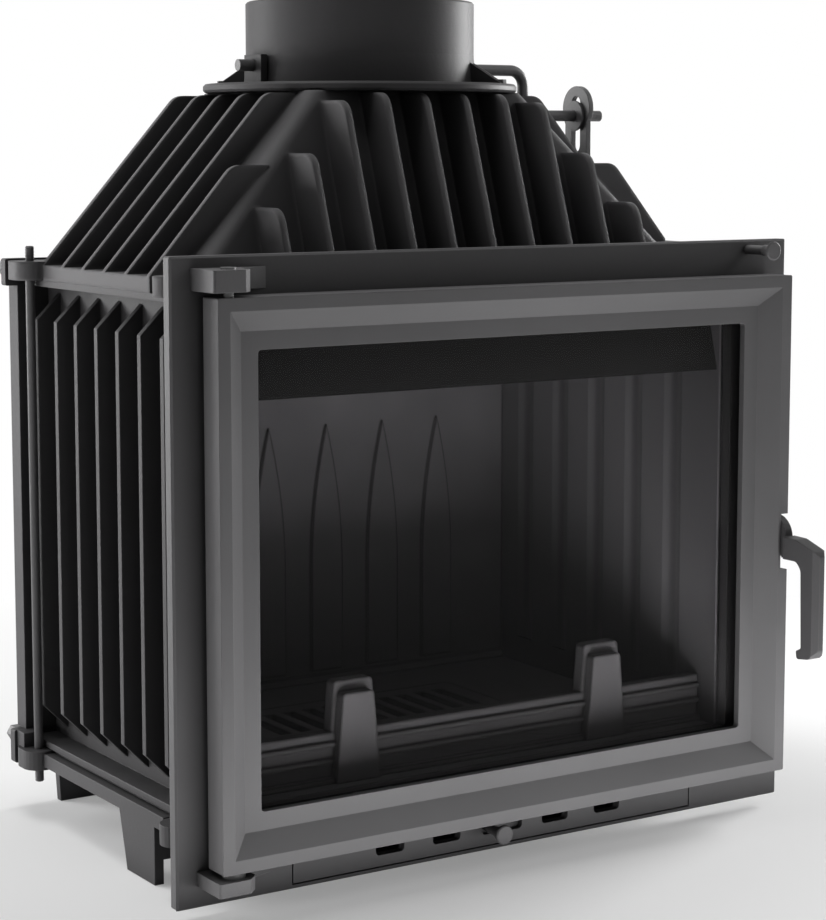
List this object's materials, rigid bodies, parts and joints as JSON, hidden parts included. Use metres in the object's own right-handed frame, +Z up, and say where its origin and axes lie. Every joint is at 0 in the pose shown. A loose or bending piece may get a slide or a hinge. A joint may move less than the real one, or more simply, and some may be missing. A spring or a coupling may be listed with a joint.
{
  "type": "cast iron fireplace insert",
  "caption": "Box-shaped cast iron firebox with a flat front plate, a glazed side-hinged door, a finned sloping hood, a round flue collar with a damper, and an air slide.",
  "frame": {"origin": "middle of the insert's bounding box in plan, at the height of the hearth under its feet", "axes": "-Y towards the room, out of the door's face; +Z up; +X towards the handle's side"},
  "size_m": [0.6, 0.454, 0.71],
  "materials": {
    "front_iron": "matte anthracite stove paint on smooth cast iron",
    "casing_iron": "matte black stove paint on sand-cast iron",
    "lining_iron": "bare dark cast iron, dull",
    "painted_steel": "matte anthracite stove paint on steel",
    "steel": "blackened steel fasteners",
    "pan_steel": "black sheet steel",
    "glass": "clear heat-proof glass",
    "rope": "dark braided glass-fibre rope",
    "tape": "dark woven glass-fibre tape"
  },
  "bodies": {
    "insert": {"front_plate": "front_iron", "base": "casing_iron", "side_panel_left": "casing_iron", "side_panel_right": "casing_iron", "back_panel": "casing_iron", "hood": "casing_iron", "flue_collar": "casing_iron", "back_lining": "lining_iron", "baffle": "lining_iron", "air_wash_plate": "lining_iron", "wash_plate_screws": "steel", "hearth_plate": "lining_iron", "ash_pan": "pan_steel", "tie_rods": "painted_steel", "collar_bolts": "painted_steel", "plate_bolts": "steel", "rear_bolts": "painted_steel", "air_bar": "front_iron", "air_bar_screws": "steel", "latch_catch": "steel", "hinge_pins": "steel", "hinge_washer": "steel"},
    "door": {"door_frame": "front_iron", "door_glass": "glass", "glass_tape": "tape", "door_rope": "rope", "glass_clips": "steel", "clip_screws": "steel", "handle_pin": "steel"},
    "handle": {"door_handle": "front_iron"},
    "damper": {"damper_shaft": "painted_steel", "damper_flap": "casing_iron", "flap_bolts": "steel", "crank_washer": "painted_steel"},
    "pull": {"pull_rod": "painted_steel", "pull_knob": "front_iron", "yoke_plate": "painted_steel", "yoke_nuts": "steel"},
    "air_slide": {"air_slider": "painted_steel", "air_knob": "front_iron"},
    "grate": {"grate": "lining_iron"},
    "guard": {"log_guard": "lining_iron"}
  },
  "joints": [
    {"name": "door_swing", "type": "hinge", "parent": "insert", "child": "door", "pos_m": [-0.264, -0.168, 0.2595], "axis": [0, 0, -1], "range_deg": [0, 110]},
    {"name": "handle_lift", "type": "hinge", "parent": "door", "child": "handle", "pos_m": [0.2745, -0.166, 0.2495], "axis": [-1, 0, 0], "range_deg": [0, 40]},
    {"name": "damper_turn", "type": "hinge", "parent": "insert", "child": "damper", "pos_m": [0, 0.0765, 0.6545], "axis": [-1, 0, 0], "range_deg": [-34, 42]},
    {"name": "pull_slide", "type": "slide", "parent": "insert", "child": "pull", "axis": [0, -1, 0], "range_m": [-0.0226, 0.0279]},
    {"name": "air_slide_move", "type": "slide", "parent": "insert", "child": "air_slide", "axis": [1, 0, 0], "range_m": [0, 0.027]},
    {"name": "grate_lift", "type": "slide", "parent": "insert", "child": "grate", "axis": [0, 0, 1], "range_m": [0, 0.15]},
    {"name": "guard_lift", "type": "slide", "parent": "insert", "child": "guard", "axis": [0, 0, 1], "range_m": [0, 0.12]}
  ],
  "couplings": [
    {"joint": "pull_slide", "follows": "damper_turn", "m_per_rad": 0.038}
  ]
}
